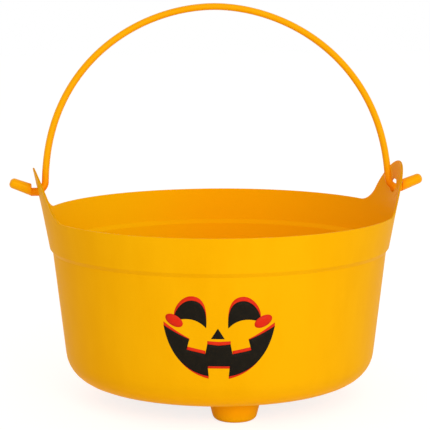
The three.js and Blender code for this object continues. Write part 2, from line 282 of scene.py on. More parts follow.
def turned_surface(line, columns, centre=(0.0, 0.0)):
    """A line of (radius, height) points turned about an upright axis, as points and faces."""
    points, faces, rows = [], [], []
    for radius, height in line:
        if radius < tiny:
            rows.append([len(points)] * columns)
            points.append((centre[0], centre[1], height))
            continue
        rows.append([len(points) + i for i in range(columns)])
        for i in range(columns):
            a = 2 * math.pi * i / columns
            points.append((centre[0] + radius * math.cos(a), centre[1] + radius * math.sin(a), height))
    for low, high in zip(rows, rows[1:]):
        for i in range(columns):
            j = (i + 1) % columns
            corners = [low[i], low[j], high[j], high[i]]
            faces.append(tuple(dict.fromkeys(corners)))
    return points, faces


def inside(places, loop):
    """Which of the places lie inside a closed loop of flat points."""
    x, y = np.array(places, float).T
    within = np.zeros(len(x), bool)
    for (x1, y1), (x2, y2) in zip(loop, loop[1:] + loop[:1]):
        crosses = (y1 > y) != (y2 > y)
        if y1 != y2:
            within ^= crosses & (x < (x2 - x1) * (y - y1) / (y2 - y1) + x1)
    return within


def filled(loops, spacing):
    """A flat region between an outer loop and the loops of its holes, as points and triangles."""
    flat = [tuple(p) for loop in loops for p in loop]
    edges = []
    start = 0
    for loop in loops:
        edges += [(start + i, start + (i + 1) % len(loop)) for i in range(len(loop))]
        start += len(loop)
    tree = kdtree.KDTree(len(flat))
    for i, (x, y) in enumerate(flat):
        tree.insert((x, y, 0), i)
    tree.balance()
    low, high = np.min(loops[0], axis=0), np.max(loops[0], axis=0)
    loose = []
    clear = 0.6 * spacing
    row_height = spacing * math.sqrt(3) / 2
    for j in range(1, int((high[1] - low[1]) / row_height) + 1):
        for i in range(int((high[0] - low[0]) / spacing) + 1):
            place = (low[0] + (i + 0.5 * (j % 2)) * spacing, low[1] + j * row_height)
            if tree.find((*place, 0))[2] > clear:
                loose.append(place)
    if loose:
        keep = inside(loose, loops[0])
        for hole in loops[1:]:
            keep &= ~inside(loose, hole)
        flat += [place for place, kept in zip(loose, keep) if kept]
    points, _, faces, *_ = geometry.delaunay_2d_cdt([Vector(p) for p in flat], edges, [], 1, tiny)
    middles = [sum((points[i] for i in face), Vector((0, 0))) / len(face) for face in faces]
    keep = np.ones(len(faces), bool)
    for hole in loops[1:]:
        keep &= ~inside(middles, hole)
    return [tuple(p) for p in points], [tuple(face) for face, kept in zip(faces, keep) if kept]


def strip(first, second):
    """Faces between two lines with as many points each, as points and faces."""
    count = len(first)
    faces = [(i, i + 1, count + i + 1, count + i) for i in range(count - 1)]
    return list(first) + list(second), faces


def mesh_piece(name, surfaces, weld=2e-6):
    """One closed mesh from surfaces that meet, with their shared points welded."""
    points, faces = [], []
    for surface_points, surface_faces in surfaces:
        faces += [tuple(len(points) + i for i in face) for face in surface_faces]
        points += surface_points
    mesh = bpy.data.meshes.new(name)
    mesh.from_pydata([tuple(p) for p in points], [], faces)
    work = bmesh.new()
    work.from_mesh(mesh)
    bmesh.ops.remove_doubles(work, verts=work.verts, dist=weld)
    bmesh.ops.dissolve_degenerate(work, edges=work.edges, dist=weld / 10)
    bmesh.ops.recalc_face_normals(work, faces=work.faces)
    work.to_mesh(mesh)
    work.free()
    mesh.shade_smooth()
    piece = bpy.data.objects.new(name, mesh)
    scene.collection.objects.link(piece)
    return piece


def outside_radius(z):
    """The bowl's outside from the ledge up. Over the rim the ears flare a little more, by degrees."""
    radius = step_radius + ledge_out + band_draft * (z - step_z)
    over = max(z - rim_z, 0.0)
    if over < ear_flare_run:
        return radius + (ear_draft - band_draft) * over * over / (2 * ear_flare_run)
    return radius + (ear_draft - band_draft) * (over - ear_flare_run / 2)


def bezier(a, b, c, d, steps):
    """Points along a curve from a to d that leaves towards b and comes in from c."""
    a, b, c, d = (np.array(p, float) for p in (a, b, c, d))
    shares = [i / steps for i in range(steps + 1)]
    return [a * (1 - t) ** 3 + 3 * b * t * (1 - t) ** 2 + 3 * c * t * t * (1 - t) + d * t ** 3
            for t in shares]


# Ear outline, from its right foot on the rim over its top to its left foot, seen from the side.
# The pulls are the shares of its sizes that its curves' handles reach.
flank = np.array([-ear_flank_lean, 1.0]) / math.hypot(ear_flank_lean, 1.0)
flank_point = np.array([ear_flank_half, rim_z + ear_flank_height])
run_out = ear_flank_half + ear_foot_pull * (ear_base_half - ear_flank_half)
shoulder_reach = ear_shoulder_pull * (ear_height - ear_flank_height)
half_ear = bezier((ear_base_half, rim_z), (run_out, rim_z),
                  flank_point - flank * ear_foot_pull * ear_flank_height, flank_point, steps=14)
half_ear += bezier(flank_point, flank_point + flank * shoulder_reach,
                   (ear_top_pull * ear_flank_half, ear_top_z), (0, ear_top_z), steps=22)[1:]
ear_outline = [tuple(p) for p in half_ear] + [(-y, z) for y, z in reversed(half_ear[:-1])]

# The rim, once round from the back. Its points are (distance along the band, height).
unrolled = step_radius
seam = math.pi / 2
column = 2 * math.pi / around_bowl


def along_band(angle):
    return (angle - seam) * unrolled


def plain_rim(start, end):
    """The rim's points from one angle up to another, the last one left out."""
    pieces = math.ceil((end - start) / column)
    return [(along_band(start + (end - start) * i / pieces), rim_z) for i in range(pieces)]


rim_line = []
ear_reach = math.asin(ear_base_half / outside_radius(rim_z))
plain_from = seam
for ear_angle in (math.pi, 2 * math.pi):
    rim_line += plain_rim(plain_from, ear_angle - ear_reach)
    for y, z in ear_outline[:-1]:
        rim_line.append((along_band(ear_angle - math.asin(y / outside_radius(z))), z))
    plain_from = ear_angle + ear_reach
rim_line += plain_rim(plain_from, seam + 2 * math.pi)
rim_line.append((along_band(seam + 2 * math.pi), rim_z))


def on_band(place, depth):
    """A point of the unrolled band, that deep under the outside of the wall."""
    angle = place[0] / unrolled + seam
    radius = outside_radius(place[1]) - depth * across_wall
    return radius * math.cos(angle), radius * math.sin(angle), place[1]


def inset(line, distance, closed_length):
    """An edge line moved to its right along the wall. closed_length is how far apart its ends are."""
    points = np.array(line, float)
    period = np.array([closed_length, 0.0])
    before = np.vstack([points[-2] - period, points[:-1]])
    after = np.vstack([points[1:], points[1] + period])
    along = after - before
    along /= np.linalg.norm(along, axis=1)[:, None]
    return [tuple(p) for p in points + np.stack([along[:, 1], -along[:, 0]], axis=1) * distance]


def round_edge(line, closed_length, steps=4):
    """The surfaces that close the wall along an edge line, from its outside to its inside."""
    levels = []
    for i in range(steps + 1):
        a = math.pi / 2 * i / steps
        levels.append((edge_round * (1 - math.sin(a)), edge_round * (1 - math.cos(a))))
    levels += [(into, wall - depth) for into, depth in reversed(levels)]
    lines = [[on_band(p, depth) for p in inset(line, into, closed_length)] for into, depth in levels]
    return [strip(first, second) for first, second in zip(lines, lines[1:])]


# The ear's hole is a lying oval, in whose hollow the pin lies.
hole_low = pivot.z - hole_below_pivot
hole_high = pivot.z + hole_above_pivot
hole_end = (hole_high - hole_low) / 2
hole_flat = hole_half_width - hole_end
hole_outline = []
for i in range(around_hole + 1):
    a = math.radians(-90 + 360 * i / around_hole)
    across, up = math.cos(a), math.sin(a)
    if up < 0:
        hole_outline.append((hole_half_width * across, hole_low + hole_end * (1 + up)))
    else:
        side = 1 if i < around_hole // 2 else -1
        hole_outline.append((side * hole_flat + hole_end * across, hole_low + hole_end * (1 + up)))
hole_outline.append(hole_outline[0])
holes = []
for ear_angle in (math.pi, 2 * math.pi):
    holes.append([(along_band(ear_angle + math.asin(y / outside_radius(z))), z) for y, z in hole_outline])

# Band and ears: the wall between the ledge and the rim, outside and inside.
band_length = 2 * math.pi * unrolled
bowl_surfaces = []
bowl_surfaces += round_edge(rim_line, band_length)
for hole in holes:
    bowl_surfaces += round_edge(hole, 0.0)
band_top = inset(rim_line, edge_round, band_length)
band_bottom = [(along_band(seam + column * i), band_foot_z) for i in range(around_bowl + 1)]
seam_steps = 7
seam_height = band_top[0][1] - band_foot_z
seam_rows = [band_foot_z + seam_height * i / seam_steps for i in range(1, seam_steps)]
right_seam = [(band_length, z) for z in seam_rows]
left_seam = [(0.0, z) for z in reversed(seam_rows)]
band_loop = band_bottom + right_seam + list(reversed(band_top)) + left_seam
hole_loops = [inset(hole, edge_round, 0.0)[:-1] for hole in holes]
band_points, band_faces = filled([band_loop] + hole_loops, grid)
for depth in (0.0, wall):
    bowl_surfaces.append(([on_band(p, depth) for p in band_points], band_faces))

# Wall below the band: corner, lower cone and ledge.
wall_corners = [(0.0, floor_z), (step_radius - lower_draft * lower_wall_height, floor_z),
                (step_radius, step_z), (outside_radius(step_z + ledge_height), step_z + ledge_height),
                (outside_radius(band_foot_z), band_foot_z)]
inside_corners = moved_left(wall_corners, wall)
inside_corners[-1] = np.array([outside_radius(band_foot_z) - wall * across_wall, band_foot_z])
outside_radii = (corner_radius, ledge_foot_radius, ledge_top_radius)
inside_radii = (corner_radius - wall, ledge_top_radius, ledge_foot_radius)
outside_line = rounded(wall_corners, outside_radii, steps=9)[1:]
inside_line = rounded(inside_corners, inside_radii, steps=9)[1:]
for line in (outside_line, inside_line):
    bowl_surfaces.append(turned_surface(divided(line, 2 * grid), around_bowl))

# Feet: hollow stubs, rounded below, with a small fillet into the floor.
foot_corners = [(0.0, 0.0), (foot_bottom_radius, 0.0), (foot_top_radius, floor_z),
                (2 * foot_top_radius, floor_z)]
hollow_radii = (foot_edge_radius - wall, foot_fillet + wall)
foot_outside = rounded(foot_corners, (foot_edge_radius, foot_fillet), steps=8)[:-1]
foot_inside = rounded(moved_left(foot_corners, wall), hollow_radii, steps=8)[:-1]
foot_places = [(foot_circle_radius * math.cos(a), foot_circle_radius * math.sin(a)) for a in foot_angles]
for line in (foot_outside, foot_inside):
    for place in foot_places:
        bowl_surfaces.append(turned_surface(divided(line, grid), around_foot, place))

# Gate mark: the short stub left where the plastic entered, in a shallow dish under the floor.
gate_tip_z = floor_z - gate_tip_below_floor
gate_dish_z = floor_z + gate_dish_depth
gate_corners = [(0.0, gate_tip_z), (gate_tip_radius, gate_tip_z), (gate_root_radius, gate_dish_z),
                (gate_dish_flat_radius, gate_dish_z), (gate_dish_radius, floor_z)]
gate_line = rounded(gate_corners, gate_rounds, steps=4)
bowl_surfaces.append(turned_surface(gate_line, around_foot))


def circle(radius, count, centre=(0.0, 0.0)):
    turns = [2 * math.pi * i / count for i in range(count)]
    return [(centre[0] + radius * math.cos(a), centre[1] + radius * math.sin(a)) for a in turns]


# Floor: the flat between the feet and the wall's corner, below and above.
for line, foot_line, height in ((outside_line, foot_outside, floor_z),
                                (inside_line, foot_inside, floor_z + wall)):
    loops = [circle(line[0][0], around_bowl)]
    loops += [circle(foot_line[-1][0], around_foot, place) for place in foot_places]
    if height == floor_z:
        loops.append(circle(gate_dish_radius, around_foot))
    flat_points, flat_faces = filled(loops, 2 * grid)
    bowl_surfaces.append(([(x, y, height) for x, y in flat_points], flat_faces))

bowl = mesh_piece("bowl_moulding", bowl_surfaces)
bowl.modifiers.new("even_shading", "WEIGHTED_NORMAL").keep_sharp = True

# Orange plastic: smooth satin polypropylene, coloured right through. Its faults are small ones: a
# fine skin like orange peel, faint streaks where the plastic flowed, and slightly rubbed edges.


def new_group(name, inputs, outputs):
    """An empty node group with named inputs (name, kind, value) and outputs (name, kind)."""
    group = bpy.data.node_groups.new(name, "ShaderNodeTree")
    for label, kind, value in inputs:
        made = group.interface.new_socket(label, in_out="INPUT", socket_type=kind)
        made.default_value = value
    for label, kind in outputs:
        group.interface.new_socket(label, in_out="OUTPUT", socket_type=kind)
    return group, add_node(group, "NodeGroupInput"), add_node(group, "NodeGroupOutput")


def feed(tree, socket, value):
    """Give an input a plain value, or link another node's output to it."""
    if hasattr(value, "is_output"):
        tree.links.new(value, socket)
    else:
        socket.default_value = value


def math_node(tree, operation, *values, clamp=False):
    """A Math node whose inputs are numbers or other nodes' outputs. It gives back its output."""
    made = add_node(tree, "ShaderNodeMath", operation=operation, use_clamp=clamp)
    for socket, value in zip(made.inputs, values):
        feed(tree, socket, value)
    return made.outputs[0]


def noise(tree, vector, scale, detail=2.0, roughness=0.5):
    """Soft random patches. scale is a number or another node's output."""
    made = add_node(tree, "ShaderNodeTexNoise", {"Detail": detail, "Roughness": roughness})
    tree.links.new(vector, made.inputs["Vector"])
    feed(tree, made.inputs["Scale"], scale)
    return made.outputs["Fac"]


def spread(tree, value, low, high, to_low=0.0, to_high=1.0):
    """A value's range from low to high laid softly over another range, and cut off at its ends."""
    ends = {"From Min": low, "From Max": high, "To Min": to_low, "To Max": to_high}
    made = add_node(tree, "ShaderNodeMapRange", ends, interpolation_type="SMOOTHSTEP")
    tree.links.new(value, made.inputs["Value"])
    return made.outputs["Result"]


def blended(tree, share, first, second):
    """Two colours mixed by a share. Each may be a plain colour or another node's output."""
    share_input, first_input, second_input, colour_output = 0, 6, 7, 2
    made = add_node(tree, "ShaderNodeMix", data_type="RGBA")
    feed(tree, made.inputs[share_input], share)
    feed(tree, made.inputs[first_input], first)
    feed(tree, made.inputs[second_input], second)
    return made.outputs[colour_output]


def varied(tree, base, pattern, by):
    """A value that goes up and down with a pattern of 0 to 1, by that much in all."""
    return math_node(tree, "MULTIPLY_ADD", pattern, by, math_node(tree, "ADD", base, -by / 2))


def orange_peel(tree, place, size):
    """The fine skin of a moulding, its bumps about that far apart."""
    return noise(tree, place, math_node(tree, "DIVIDE", 1.0, size), detail=2.0, roughness=0.45)


moulded_skin, given, result = new_group("moulded_skin", [
    ("Flow Vector", "NodeSocketVector", (0.0, 0.0, 0.0)),
    ("Plastic", "NodeSocketColor", (0.9, 0.4, 0.01, 1.0)),
    ("Thin Plastic", "NodeSocketColor", (0.95, 0.5, 0.02, 1.0)),
    ("Rubbed Plastic", "NodeSocketColor", (0.95, 0.6, 0.1, 1.0)),
    ("Rubbing", "NodeSocketFloat", 0.5),
    ("Roughness", "NodeSocketFloat", 0.4),
    ("Peel Size", "NodeSocketFloat", 0.0012),
], [("Colour", "NodeSocketColor"), ("Roughness", "NodeSocketFloat"), ("Height", "NodeSocketFloat")])
place = add_node(moulded_skin, "ShaderNodeTexCoord").outputs["Object"]
curved = add_node(moulded_skin, "ShaderNodeNewGeometry").outputs["Pointiness"]
clouds = noise(moulded_skin, place, scale=14.0, detail=3.0)
specks = noise(moulded_skin, place, scale=420.0)
streaks = noise(moulded_skin, given.outputs["Flow Vector"], scale=6.0, detail=4.0, roughness=0.6)
cloud_part = math_node(moulded_skin, "MULTIPLY", clouds, 0.45)
flow = math_node(moulded_skin, "MULTIPLY_ADD", streaks, 0.55, cloud_part)
colour = blended(moulded_skin, spread(moulded_skin, flow, 0.38, 0.62), given.outputs["Plastic"],
                 given.outputs["Thin Plastic"])
edge = spread(moulded_skin, curved, 0.52, 0.6)
rubbed = math_node(moulded_skin, "MULTIPLY", edge, spread(moulded_skin, specks, 0.35, 0.7, 0.35, 1.0))
rubbed = math_node(moulded_skin, "MULTIPLY", rubbed, given.outputs["Rubbing"], clamp=True)
colour = blended(moulded_skin, rubbed, colour, given.outputs["Rubbed Plastic"])
satin = varied(moulded_skin, given.outputs["Roughness"], specks, 0.08)
satin = varied(moulded_skin, satin, clouds, 0.06)
satin = math_node(moulded_skin, "MULTIPLY_ADD", rubbed, 0.15, satin)
peel = orange_peel(moulded_skin, place, given.outputs["Peel Size"])
height = math_node(moulded_skin, "MULTIPLY_ADD", streaks, 0.6, peel)
for label, value in (("Colour", colour), ("Roughness", satin), ("Height", height)):
    moulded_skin.links.new(value, result.inputs[label])


def dressed(name, group, values, bump_height):
    """A material whose Principled shader takes its colour, roughness and bump from a group."""
    material = bpy.data.materials.new(name)
    material.use_nodes = True
    tree = material.node_tree
    shader = tree.nodes["Principled BSDF"]
    skin = add_node(tree, "ShaderNodeGroup", node_tree=group)
    for label, value in values.items():
        skin.inputs[label].default_value = value
    bump = add_node(tree, "ShaderNodeBump", {"Strength": 0.25, "Distance": bump_height})
    tree.links.new(skin.outputs["Colour"], shader.inputs["Base Color"])
    tree.links.new(skin.outputs["Roughness"], shader.inputs["Roughness"])
    tree.links.new(skin.outputs["Height"], bump.inputs["Height"])
    tree.links.new(bump.outputs["Normal"], shader.inputs["Normal"])
    return material, tree, shader, skin


bowl_plastic, tree, shader, skin = dressed("bowl_plastic", moulded_skin, {
    "Plastic": (0.85, 0.446, 0.001, 1.0),
    "Thin Plastic": (0.878, 0.474, 0.002, 1.0),
    "Rubbed Plastic": (0.9, 0.51, 0.02, 1.0),
    "Rubbing": 0.4,
    "Roughness": 0.44,
    "Peel Size": 0.0014,
}, bump_height=0.00012)
shader.inputs["Specular IOR Level"].default_value = 0.02
shader.inputs["Specular Tint"].default_value = plastic_shine

# Plastic flows out from the gate under the floor and up the wall, so its streaks run that way.
split = add_node(tree, "ShaderNodeSeparateXYZ")
tree.links.new(add_node(tree, "ShaderNodeTexCoord").outputs["Object"], split.inputs[0])
level = split.outputs["Z"]
flat_place = add_node(tree, "ShaderNodeCombineXYZ")
tree.links.new(split.outputs["X"], flat_place.inputs["X"])
tree.links.new(split.outputs["Y"], flat_place.inputs["Y"])
direction = add_node(tree, "ShaderNodeVectorMath", operation="NORMALIZE")
tree.links.new(flat_place.outputs[0], direction.inputs[0])
turn = add_node(tree, "ShaderNodeSeparateXYZ")
tree.links.new(direction.outputs[0], turn.inputs[0])
streak_place = add_node(tree, "ShaderNodeCombineXYZ")
tree.links.new(turn.outputs["X"], streak_place.inputs["X"])
tree.links.new(turn.outputs["Y"], streak_place.inputs["Y"])
tree.links.new(math_node(tree, "MULTIPLY", level, 3.0), streak_place.inputs["Z"])
tree.links.new(streak_place.outputs[0], skin.inputs["Flow Vector"])

# Painted shade and light: the hollow feet are painted a deeper, brighter orange than the wall above
# them, for the shade under the bowl and the light from the floor, less so towards the ground.
under_floor = spread(tree, level, floor_z - 0.001, floor_z + 0.0006, 1.0, 0.0)
off_ground = spread(tree, level, 0.0, 0.008, 0.35, 1.0)
in_foot = math_node(tree, "MULTIPLY", under_floor, off_ground)
colour = blended(tree, math_node(tree, "MULTIPLY", in_foot, 0.8), skin.outputs["Colour"], painted_foot_shade)

# Painted light: the rounded corner over the floor is painted paler, for light bounced up from the floor.
over_feet = spread(tree, level, floor_z - 0.0006, floor_z)
under_wall = spread(tree, level, floor_z + 0.002, floor_z + 0.014, 1.0, 0.0)
colour = blended(tree, math_node(tree, "MULTIPLY", over_feet, under_wall), colour, painted_corner_light)

# Painted light and shade: inside, the wall is painted yellower on its lit left than on its shaded right.
facing = add_node(tree, "ShaderNodeVectorMath", operation="DOT_PRODUCT")
tree.links.new(add_node(tree, "ShaderNodeTexCoord").outputs["Normal"], facing.inputs[0])
tree.links.new(direction.outputs[0], facing.inputs[1])
outward = facing.outputs["Value"]
on_left = spread(tree, split.outputs["X"], -0.075, 0.025, 1.0, 0.0)
inner = blended(tree, on_left, painted_inside_shade, painted_inside_left_light)
colour = blended(tree, spread(tree, outward, -0.6, -0.3, 1.0, 0.0), colour, inner)

# Painted shade: the ears' cut edges are painted a darker, deeper orange.
on_cut = spread(tree, math_node(tree, "ABSOLUTE", outward), 0.4, 0.8, 0.85, 0.0)
over_rim = spread(tree, level, rim_z, rim_z + 0.004)
colour = blended(tree, math_node(tree, "MULTIPLY", on_cut, over_rim), colour, painted_ear_edge_shade)
tree.links.new(colour, shader.inputs["Base Color"])

bowl.data.materials.append(bowl_plastic)
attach(bowl, "bowl")
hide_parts("bowl")

# Bail: one rod moulded flat and sprung into the two ears. Each leg turns out through its ear's
# hole as a pin and ends in a thick stop that slopes up. It hangs a little out of level in its
# loose holes, its left side higher.
rod_radius = 0.00226
pin_radius = 0.0027
parting_ridge = 0.00002
bail_half_span = 0.11334
bail_rise = 0.12079
bow_crown = 1.92
bow_legs = 2.23
bail_lean = math.radians(12)
bail_skew = math.radians(0.54)
bend_radius = 0.007
heel_start = 0.11496
stop_start = 0.12226
stop_length = 0.01467
stop_inner_radius = 0.00375
stop_outer_radius = 0.00335
stop_edge_round = 0.0005
stop_end_round = 0.00268
stop_tilt = math.radians(20.6)
fillet_size = 0.0004
heel_half_length = 0.0004
# Painted shade for the bail's bends and pins.
painted_pin_shade = (0.95, 0.25, 0.001, 1.0)

# How finely it is drawn: points round the rod, the bow's spacing, and rings or points on the rest.
around_rod = 40
bow_spacing = 0.0018
bow_points = 2001
bend_points = 31
pin_points = 5
fillet_rings = 4
edge_rings = 5
side_rings = 12
tip_rings = 9

half_pi = math.pi / 2
bow_start = math.asin((bend_radius / bail_rise) ** (bow_legs / 2))
leg_x = bail_half_span * math.cos(bow_start) ** (2 / bow_crown)
turns = np.arange(around_rod) * 2 * math.pi / around_rod


def bow_point(t):
    """A point of the bow: half an ellipse with straighter legs and a slightly sharper crown."""
    return np.array([bail_half_span * math.cos(t) ** (2 / bow_crown),
                     bail_rise * math.sin(t) ** (2 / bow_legs)])


def evenly(path, spacing):
    """Points along a finely drawn path at even distances, with its two ends kept."""
    path = np.array(path)
    run = np.concatenate([[0.0], np.cumsum(np.linalg.norm(np.diff(path, axis=0), axis=1))])
    wanted = np.linspace(0.0, run[-1], math.ceil(run[-1] / spacing) + 1)
    return np.stack([np.interp(wanted, run, path[:, 0]), np.interp(wanted, run, path[:, 1])], axis=1)


def rod_ring(centre, upward, radii):
    """A ring round the rod. upward points to its outer or upper side, in the bail's own plane."""
    across = centre[0] + upward[0] * radii * np.cos(turns)
    rise = centre[1] + upward[1] * radii * np.cos(turns)
    return np.stack([across, radii * np.sin(turns), rise], axis=1)


# Right half of the rod, from the middle of the bow down the leg, through the bend and along the
# pin, which is thicker from its heel on.
bow_path = evenly([bow_point(t) for t in np.linspace(half_pi, bow_start, bow_points)], bow_spacing)
bend_path = [np.array([leg_x + bend_radius * (1 + math.cos(a)), bend_radius * (1 + math.sin(a))])
             for a in np.linspace(math.pi, 1.5 * math.pi, bend_points)]
pin_path = [np.array([x, 0.0])
            for x in np.linspace(leg_x + bend_radius, stop_start - 2 * fillet_size, pin_points)]
rod_path = list(bow_path) + bend_path[1:] + pin_path[1:]
ridged = np.full(around_rod, rod_radius)
ridged[0] += parting_ridge
ridged[around_rod // 2] += parting_ridge
rings = []
for i, centre in enumerate(rod_path):
    along = rod_path[min(i + 1, len(rod_path) - 1)] - rod_path[max(i - 1, 0)]
    if i == 0:
        along = np.array([1.0, 0.0])
    along = along / np.linalg.norm(along)
    ring = rod_ring(centre, (-along[1], along[0]), ridged)
    pin_share = np.clip((ring[:, 0] - heel_start + heel_half_length) / (2 * heel_half_length), 0.0, 1.0)
    pin_share = pin_share * pin_share * (3 - 2 * pin_share)
    from_axis = np.hypot(ring[:, 1], ring[:, 2])
    grow = 1 + np.clip(pin_radius / from_axis - 1, 0.0, None) * pin_share
    ring[:, 1] *= grow
    ring[:, 2] *= grow
    rings.append(ring)

# Stop: a sloping, slightly tapered cylinder, cut square to the pin. Its rings run from the pin's
# surface up the cut face, round its edge, and on to the rounded tip. Where the cut face is low,
# its fillet and its rounding shrink with it.
stop_cos, stop_sin = math.cos(stop_tilt), math.sin(stop_tilt)
end_from = stop_length - stop_end_round
stop_taper = (stop_inner_radius - stop_outer_radius) / end_from
stop_lift = stop_inner_radius / (stop_cos - stop_taper * stop_sin) - pin_radius


def stop_ring(along, radii):
    """A ring round the stop's own line. Both may be single sizes or one for each point."""
    across = stop_start + along * stop_cos - radii * np.cos(turns) * stop_sin
    rise = stop_lift + along * stop_sin + radii * np.cos(turns) * stop_cos
    return np.stack([across, radii * np.sin(turns), rise], axis=1)


cut_along = stop_inner_radius * np.cos(turns) * stop_sin / (stop_cos + stop_taper * np.cos(turns) * stop_sin)
cut_edge = stop_ring(cut_along, stop_inner_radius - stop_taper * cut_along)
pin_edge = rod_ring(np.array([stop_start, 0.0]), (0.0, 1.0), pin_radius)
outward = cut_edge - pin_edge
step = np.linalg.norm(outward, axis=1)[:, None]
outward /= np.maximum(step, tiny)
fillet = np.minimum(fillet_size, 0.4 * step)
rounding = np.minimum(stop_edge_round, 0.5 * step)
last_ring = stop_ring(end_from, stop_outer_radius)
run = (last_ring - cut_edge) / (last_ring - cut_edge)[:, :1]
along_pin = np.array([1.0, 0.0, 0.0])
for a in np.linspace(0.0, half_pi, fillet_rings):
    rings.append(pin_edge + outward * fillet * (1 - math.cos(a)) - along_pin * fillet * (1 - math.sin(a)))
for a in np.linspace(0.0, half_pi, edge_rings):
    rings.append(cut_edge - outward * rounding * (1 - math.sin(a)) + run * rounding * (1 - math.cos(a)))
rings += [cut_edge + (last_ring - cut_edge) * share for share in np.linspace(0.0, 1.0, side_rings)[1:]]
for a in np.linspace(0.0, half_pi, tip_rings)[1:]:
    rings.append(stop_ring(end_from + stop_end_round * math.sin(a),
                           stop_outer_radius - stop_end_round * (1 - math.cos(a))))
rings += [stop_ring(stop_length, share * (stop_outer_radius - stop_end_round)) for share in (0.6, 0.2)]

# Both halves, out of level and leaning back on the pins.
all_rings = [ring * np.array([-1.0, 1.0, 1.0]) for ring in reversed(rings[1:])] + rings
x, y, z = np.concatenate(all_rings).T
x, z = turned(x, z, -bail_skew)
y, z = turned(y, z, -bail_lean)
leaned = np.stack([x, y, z + pivot.z], axis=1)
bail_faces = []
for row in range(len(all_rings) - 1):
    for i in range(around_rod):
        j = (i + 1) % around_rod
        first, second = row * around_rod, (row + 1) * around_rod
        bail_faces.append((first + i, first + j, second + j, second + i))
bail_faces.append(tuple(range(around_rod)))
bail_faces.append(tuple(len(leaned) - around_rod + i for i in range(around_rod)))
bail = mesh_piece("bail_moulding", [([tuple(p) for p in leaned], bail_faces)])
bail.modifiers.new("even_shading", "WEIGHTED_NORMAL").keep_sharp = True

bail_plastic, tree, shader, skin = dressed("bail_plastic", moulded_skin, {
    "Plastic": (0.87, 0.405, 0.001, 1.0),
    "Thin Plastic": (0.9, 0.435, 0.002, 1.0),
    "Rubbed Plastic": (0.95, 0.49, 0.015, 1.0),
    "Rubbing": 0.4,
    "Roughness": 0.27,
    "Peel Size": 0.0012,
}, bump_height=0.0001)
shader.inputs["Specular IOR Level"].default_value = 0.25
shader.inputs["Specular Tint"].default_value = plastic_shine
stretch = add_node(tree, "ShaderNodeMapping", {"Scale": (4.0, 12.0, 4.0)})
tree.links.new(add_node(tree, "ShaderNodeTexCoord").outputs["Object"], stretch.inputs["Vector"])
tree.links.new(stretch.outputs[0], skin.inputs["Flow Vector"])

# Painted shade: the bends and the pins, in the ears' shade, are painted a deeper, redder orange.
split = add_node(tree, "ShaderNodeSeparateXYZ")
tree.links.new(add_node(tree, "ShaderNodeTexCoord").outputs["Object"], split.inputs[0])
off_middle = math_node(tree, "ABSOLUTE", split.outputs["X"])
near_pin = spread(tree, split.outputs["Z"], pivot.z - 0.001, pivot.z + 0.018, 1.0, 0.0)
before_stop = spread(tree, off_middle, stop_start - 0.0005, stop_start + 0.004, 1.0, 0.0)
in_bend = math_node(tree, "MULTIPLY", near_pin, before_stop)
deep = blended(tree, math_node(tree, "MULTIPLY", in_bend, 0.7), skin.outputs["Colour"], painted_pin_shade)
tree.links.new(deep, shader.inputs["Base Color"])
bail.data.materials.append(bail_plastic)
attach(bail, "bail")
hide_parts("bail_handle")

# Printed face: two inks pressed on the finished bowl with soft pads, black over red. Only the
# cheeks' red shows over the black, at the eyes' outer corners, so their films stand highest. Each
# patch of ink is a thin film that follows the wall's cone and reaches a little way into it.
mouth_half_width = 0.0336
eye_shift = -0.00043
cheek_shift = 0.0004
mouth_shift = 0.0007
face_height = 0.067
face_turn = math.radians(-9.15)
face_tilt = math.radians(-0.65)
red_eye_rise = 0.0027 / mouth_half_width

# How far each film stands proud of the wall and reaches into it, and how far red runs under black.
red_proud = 0.00005
black_proud = 0.0001
cheek_proud = 0.00015
sunk = 0.00006
tucked = 0.02

# The drawing's own unit is half the mouth's width, from the top of the nose.
cheek_middle = (0.8, 0.126)
cheek_half_length = 0.173
cheek_half_width = 0.099
cheek_lean = 0.528
notch_half_width = 0.2
notch_top = -0.708
film_edge_step = 0.05
film_spacing = 0.06


def cubic(a, b, c, d, steps=16):
    return [tuple(p) for p in bezier(a, b, c, d, steps)]


def quadratic(a, b, c, steps=12):
    a, b, c = (np.array(p, float) for p in (a, b, c))
    return [tuple(p) for p in bezier(a, (a + 2 * b) / 3, (2 * b + c) / 3, c, steps)]


def eye_outline(rise):
    """The right eye. The red one behind it has its lid that much higher, on the same lower edge."""
    inner, top, outer = (0.198, 0.004 + 0.7 * rise), (0.467, 0.512 + rise), (0.779, 0.117 + rise)
    return (cubic(inner, (0.168, 0.425 + rise), (0.324, 0.512 + rise), top)
            + cubic(top, (0.633, 0.512 + rise), (0.795, 0.3 + rise), outer)[1:]
            + quadratic(outer, (0.42, 0.251), inner)[1:-1])


def cheek_outline(steps=40):
    """The right cheek, a leaning oval."""
    points = []
    for i in range(steps):
        a = 2 * math.pi * i / steps
        x, y = turned(cheek_half_length * math.cos(a), cheek_half_width * math.sin(a), cheek_lean)
        points.append((cheek_middle[0] + x, cheek_middle[1] + y))
    return points


def mirrored(points):
    """The same outline on the other side of the nose, still drawn the same way round."""
    return [(-x, y) for x, y in reversed(points)]


nose = [(0, 0), (-0.124, -0.196), (0.124, -0.196)]
mouth_top = [(0, -0.318), (0.21, -0.296)]
upper_tooth = [(0.244, -0.481), (0.582, -0.411)]
lip = quadratic((0.533, -0.21), (0.765, -0.122), (1, 0.027))
jaw = cubic((1, 0.027), (0.906, -0.494), (0.628, -0.829), (0.181, -0.9), 24)
lower_notch = [(notch_half_width, notch_top), (0, notch_top)]
mouth_half = mouth_top + upper_tooth + lip + jaw[1:] + lower_notch
whole_mouth = mouth_half + mirrored(mouth_half)[1:-1]


def edge_strip(edge, heights):
    """A strip of red along an edge of the black mouth. It runs a little way under the black."""
    way = 1 if sum(heights) > 0 else -1
    under = [(x, y - way * tucked) for x, y in edge]
    return under + [(x, y + h) for (x, y), h in zip(edge, heights)][::-1]


